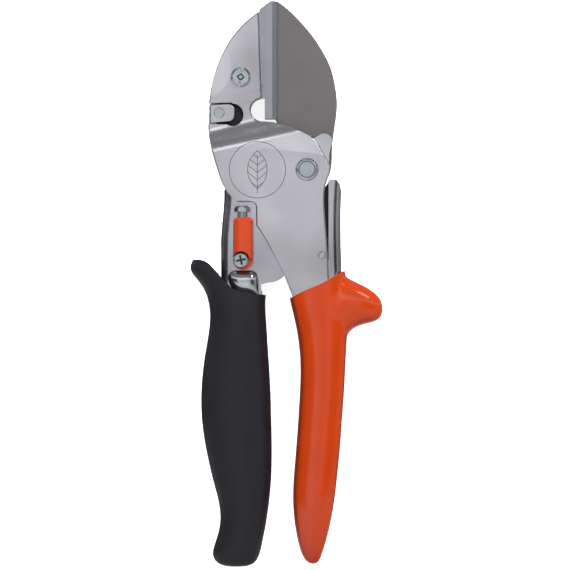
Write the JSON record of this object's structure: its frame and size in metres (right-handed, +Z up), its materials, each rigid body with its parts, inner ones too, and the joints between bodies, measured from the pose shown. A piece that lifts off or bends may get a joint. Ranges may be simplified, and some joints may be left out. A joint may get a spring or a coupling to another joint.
{
  "type": "anvil pruning shears",
  "caption": "Hand pruning shears with a dark cutting blade closing on a steel anvil, one moulded black handle, one dipped orange handle and a swinging lock lever.",
  "frame": {"origin": "middle of the underside of the overall box, with the tool lying flat on its back", "axes": "+Y along the tool towards the blade tip, +Z up from the resting surface to the side with the lock lever"},
  "size_m": [0.0716, 0.2096, 0.0216],
  "materials": {
    "plate_steel": "polished nickel-plated sheet",
    "core_steel": "polished nickel-plated sheet",
    "anvil_steel": "satin",
    "blade_coating": "matt dark non-stick coating",
    "fastener_steel": "zinc plated",
    "spring_steel": "bright wire",
    "bushing_brass": "turned",
    "orange_dip": "glossy dipped vinyl",
    "orange_plastic": "glossy moulded",
    "black_grip": "soft-touch moulded grip",
    "seat_plastic": "matt"
  },
  "bodies": {
    "fixed_side": {"body_front_plate": "plate_steel", "body_rear_plate": "plate_steel", "head_spacer": "seat_plastic", "tab_rivet": "fastener_steel", "anvil": "anvil_steel", "anvil_screw": "fastener_steel", "anvil_nut": "fastener_steel", "pivot_bolt": "fastener_steel", "pivot_washer": "fastener_steel", "pivot_nut": "fastener_steel", "right_handle_core": "core_steel", "right_handle_coating": "orange_dip", "right_handle_rivets": "fastener_steel", "spring_seat_right": "seat_plastic"},
    "blade_side": {"blade": "blade_coating", "blade_spacers": "fastener_steel", "blade_rivets": "fastener_steel", "pivot_bushing": "bushing_brass", "left_handle_core": "core_steel", "left_grip": "black_grip", "spring_seat_left": "seat_plastic", "spring": "spring_steel", "lock_lever_screw": "fastener_steel", "lock_lever_nut": "fastener_steel"},
    "lock_lever": {"lock_lever": "orange_plastic"},
    "limit_screw": {"limit_screw": "fastener_steel"}
  },
  "joints": [
    {"name": "shears_open", "type": "hinge", "parent": "fixed_side", "child": "blade_side", "pos_m": [0.00835, 0.0423, 0.0105], "axis": [0, 0, -1], "range_deg": [0, 24], "deforming": ["spring"]},
    {"name": "lock_lever_swing", "type": "hinge", "parent": "blade_side", "child": "lock_lever", "pos_m": [-0.01595, 0.0089, 0.0185], "axis": [0, 0, 1], "range_deg": [0, 66]},
    {"name": "limit_screw_travel", "type": "slide", "parent": "lock_lever", "child": "limit_screw", "axis": [0, -1, 0], "range_m": [0, 0.0018]}
  ],
  "couplings": [
    {"joint": "lock_lever_swing", "follows": "shears_open", "ratio": 2.75}
  ]
}
